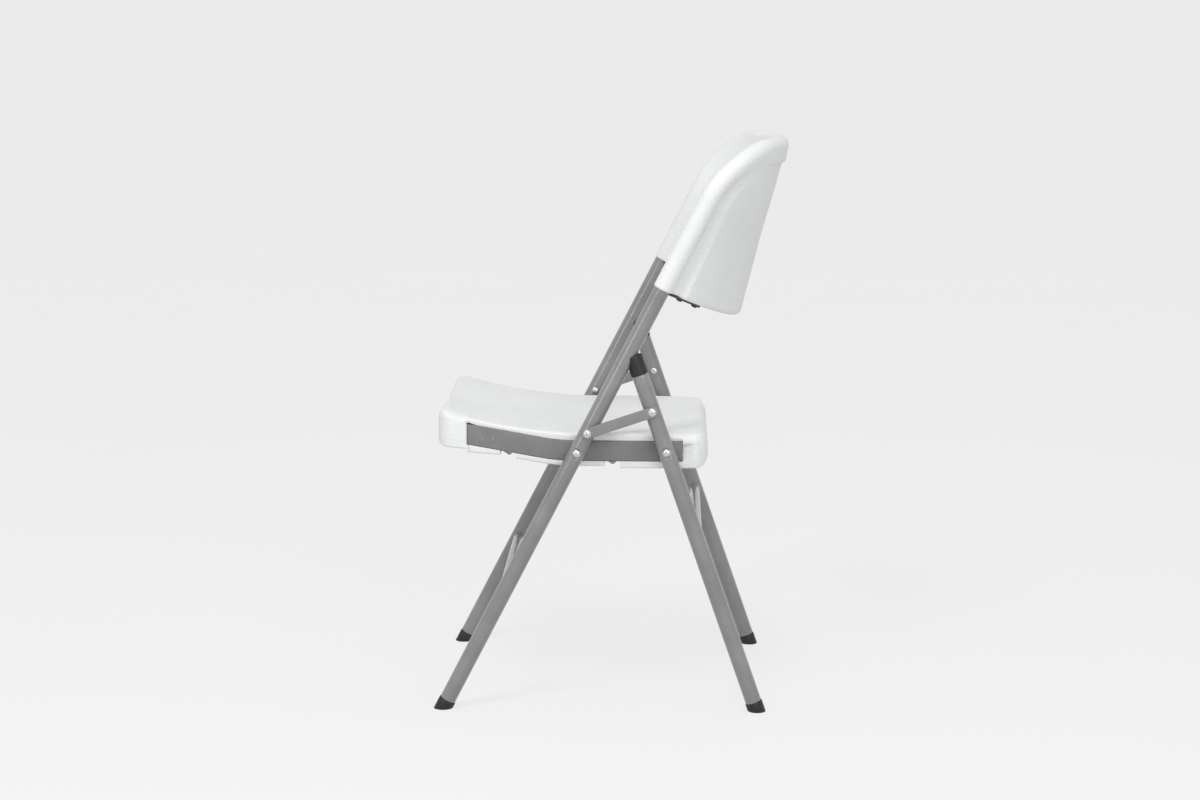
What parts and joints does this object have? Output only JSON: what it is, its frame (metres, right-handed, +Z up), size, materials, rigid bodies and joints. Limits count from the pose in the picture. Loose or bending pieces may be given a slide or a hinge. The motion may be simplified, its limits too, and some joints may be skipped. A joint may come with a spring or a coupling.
{
  "type": "folding chair",
  "caption": "Plastic folding chair with a grey steel tube frame, white moulded seat and bowed backrest; seat, legs and side links fold flat together.",
  "frame": {"origin": "on the floor under the middle of the chair's box", "axes": "+Z up, -Y towards the front of the chair, +X towards the sitter's left"},
  "size_m": [0.4636, 0.5532, 0.8787],
  "materials": {
    "white_panel": "fine grain",
    "grey_paint": "semi-gloss",
    "rail_paint": "textured",
    "black_plastic": "satin",
    "zinc": "zinc plated",
    "dark_steel": "dark",
    "nylon": "plain"
  },
  "bodies": {
    "front_frame": {"left_front_tube": "grey_paint", "right_front_tube": "grey_paint", "left_front_foot": "black_plastic", "right_front_foot": "black_plastic", "front_brace": "grey_paint", "backrest": "white_panel", "left_back_bracket": "dark_steel", "right_back_bracket": "dark_steel", "back_screws": "dark_steel", "front_seat_rivets": "zinc", "front_link_rivets": "zinc", "front_seat_spacers": "nylon", "front_link_washers": "nylon"},
    "seat": {"seat_panel": "white_panel", "left_seat_rail": "rail_paint", "right_seat_rail": "rail_paint", "front_cross_rod": "rail_paint", "rear_cross_rod": "rail_paint", "rod_clips": "zinc", "rod_clip_screws": "zinc"},
    "left_link": {"left_link": "grey_paint"},
    "right_link": {"right_link": "grey_paint"},
    "rear_frame": {"left_rear_tube": "grey_paint", "right_rear_tube": "grey_paint", "left_rear_foot": "black_plastic", "right_rear_foot": "black_plastic", "rear_brace": "grey_paint", "left_stop_cap": "black_plastic", "right_stop_cap": "black_plastic", "rear_seat_rivets": "zinc", "rear_link_rivets": "zinc", "rear_seat_spacers": "nylon", "rear_link_washers": "nylon"}
  },
  "joints": [
    {"name": "seat_fold", "type": "hinge", "parent": "front_frame", "child": "seat", "pos_m": [0, -0.05436, 0.4046], "axis": [-1, 0, 0], "range_deg": [0, 100]},
    {"name": "left_link_swing", "type": "hinge", "parent": "front_frame", "child": "left_link", "pos_m": [0.2275, -0.038, 0.43656], "axis": [-1, 0, 0], "range_deg": [0, 117.7]},
    {"name": "right_link_swing", "type": "hinge", "parent": "front_frame", "child": "right_link", "pos_m": [-0.2275, -0.038, 0.43656], "axis": [-1, 0, 0], "range_deg": [0, 117.7]},
    {"name": "rear_leg_swing", "type": "hinge", "parent": "left_link", "child": "rear_frame", "pos_m": [0.2275, 0.0608, 0.4703], "axis": [1, 0, 0], "range_deg": [0, 75.1]}
  ],
  "couplings": [
    {"joint": "left_link_swing", "follows": "seat_fold", "ratio": 1.1761},
    {"joint": "right_link_swing", "follows": "seat_fold", "ratio": 1.1761},
    {"joint": "rear_leg_swing", "follows": "seat_fold", "ratio": 0.7504}
  ]
}
